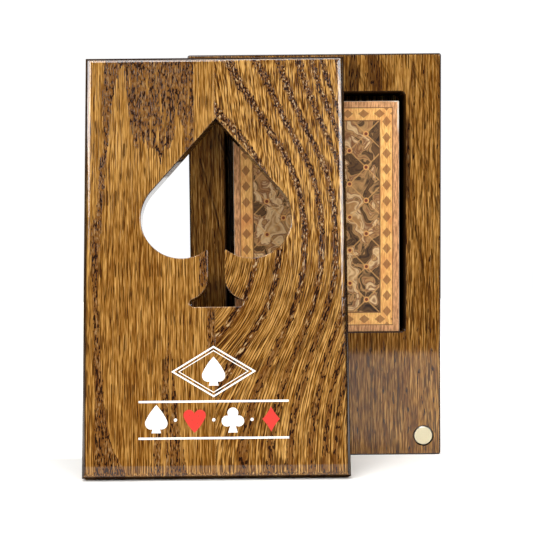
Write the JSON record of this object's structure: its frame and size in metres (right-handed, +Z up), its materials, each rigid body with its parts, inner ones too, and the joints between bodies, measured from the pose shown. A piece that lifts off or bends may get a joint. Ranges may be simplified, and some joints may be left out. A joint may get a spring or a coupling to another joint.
{
  "type": "playing card case",
  "caption": "Upright wooden case for a pack of playing cards: a thick base with a milled pocket, a leaning lid with a spade cut through it, and disc magnets that hold it shut.",
  "frame": {"origin": "centre of the end face that the base stands on", "axes": "+X right, -Y the front with the pocket and the lid, +Z up"},
  "size_m": [0.1368, 0.0622, 0.1579],
  "materials": {
    "base_oak": "glossy clear lacquer over stained oak",
    "lid_oak": "glossy clear lacquer over stained oak",
    "nickel": "bright nickel plating",
    "printed_board": "printed and varnished paperboard",
    "card_paper": "coated card"
  },
  "bodies": {
    "base": {"base_board": "base_oak", "base_magnet_lower": "nickel", "base_magnet_upper": "nickel"},
    "pack": {"carton": "printed_board", "cards": "card_paper"},
    "lid_pivot": {"lid_magnet_lower": "nickel"},
    "lid": {"lid_board": "lid_oak", "lid_magnet_upper": "nickel"}
  },
  "joints": [
    {"name": "pack_lift", "type": "slide", "parent": "base", "child": "pack", "axis": [0, -1, 0], "range_m": [0, 0.03]},
    {"name": "lid_swing", "type": "hinge", "parent": "pack", "child": "lid_pivot", "pos_m": [0.01647, -0.01926, 0.15612], "axis": [0.5869, -0.8061, 0.0755], "range_deg": [-18.1, 18.13]},
    {"name": "lid_turn", "type": "hinge", "parent": "lid_pivot", "child": "lid", "pos_m": [0.0039, -0.04231, 0.00769], "axis": [0, 0.9826, -0.1857], "range_deg": [-14.68, 14.68]}
  ],
  "couplings": [
    {"joint": "lid_turn", "follows": "lid_swing", "ratio": 0.80847}
  ]
}
